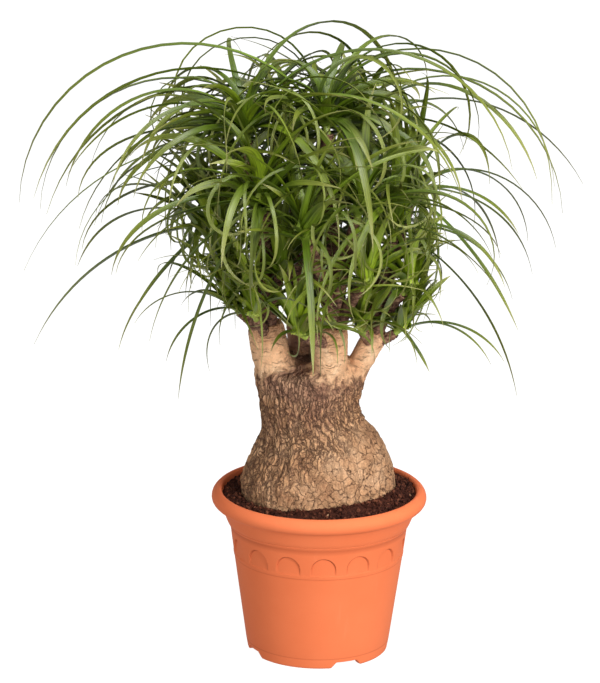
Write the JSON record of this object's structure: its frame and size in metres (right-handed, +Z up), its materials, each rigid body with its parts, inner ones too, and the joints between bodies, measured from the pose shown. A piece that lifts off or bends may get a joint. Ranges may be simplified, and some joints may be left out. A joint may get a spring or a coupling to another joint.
{
  "type": "potted ponytail palm",
  "caption": "Potted ponytail palm: a swollen bark-covered foot with cut-back stumps and heads of long arching strap leaves, in a round flared plastic pot filled with soil.",
  "frame": {"origin": "centre of the flat underside of the pot, where it stands", "axes": "+Z up along the pot's axis; -Y towards the viewer, the side where the foot's lowest lobe shows; +X to the right, towards the leaning stump"},
  "size_m": [0.696, 0.55, 0.794],
  "materials": {
    "pot_plastic": "satin",
    "soil": "matte",
    "bark": "matte",
    "leaf": "satin"
  },
  "bodies": {
    "root": {"pot": "pot_plastic", "soil": "soil", "trunk": "bark", "leaf_head_01": "leaf", "leaf_head_02": "leaf", "leaf_head_03": "leaf", "leaf_head_04": "leaf", "leaf_head_05": "leaf", "leaf_head_06": "leaf", "leaf_head_07": "leaf", "leaf_head_08": "leaf", "leaf_head_09": "leaf", "leaf_head_10": "leaf", "leaf_head_11": "leaf", "leaf_sprout_01": "leaf", "leaf_sprout_02": "leaf", "leaf_sprout_03": "leaf", "leaf_sprout_04": "leaf", "leaf_sprout_05": "leaf", "leaf_sprout_06": "leaf", "leaf_sprout_07": "leaf", "leaf_sprout_08": "leaf", "leaf_sprout_09": "leaf", "leaf_sprout_10": "leaf", "leaf_sprout_11": "leaf"}
  },
  "joints": []
}
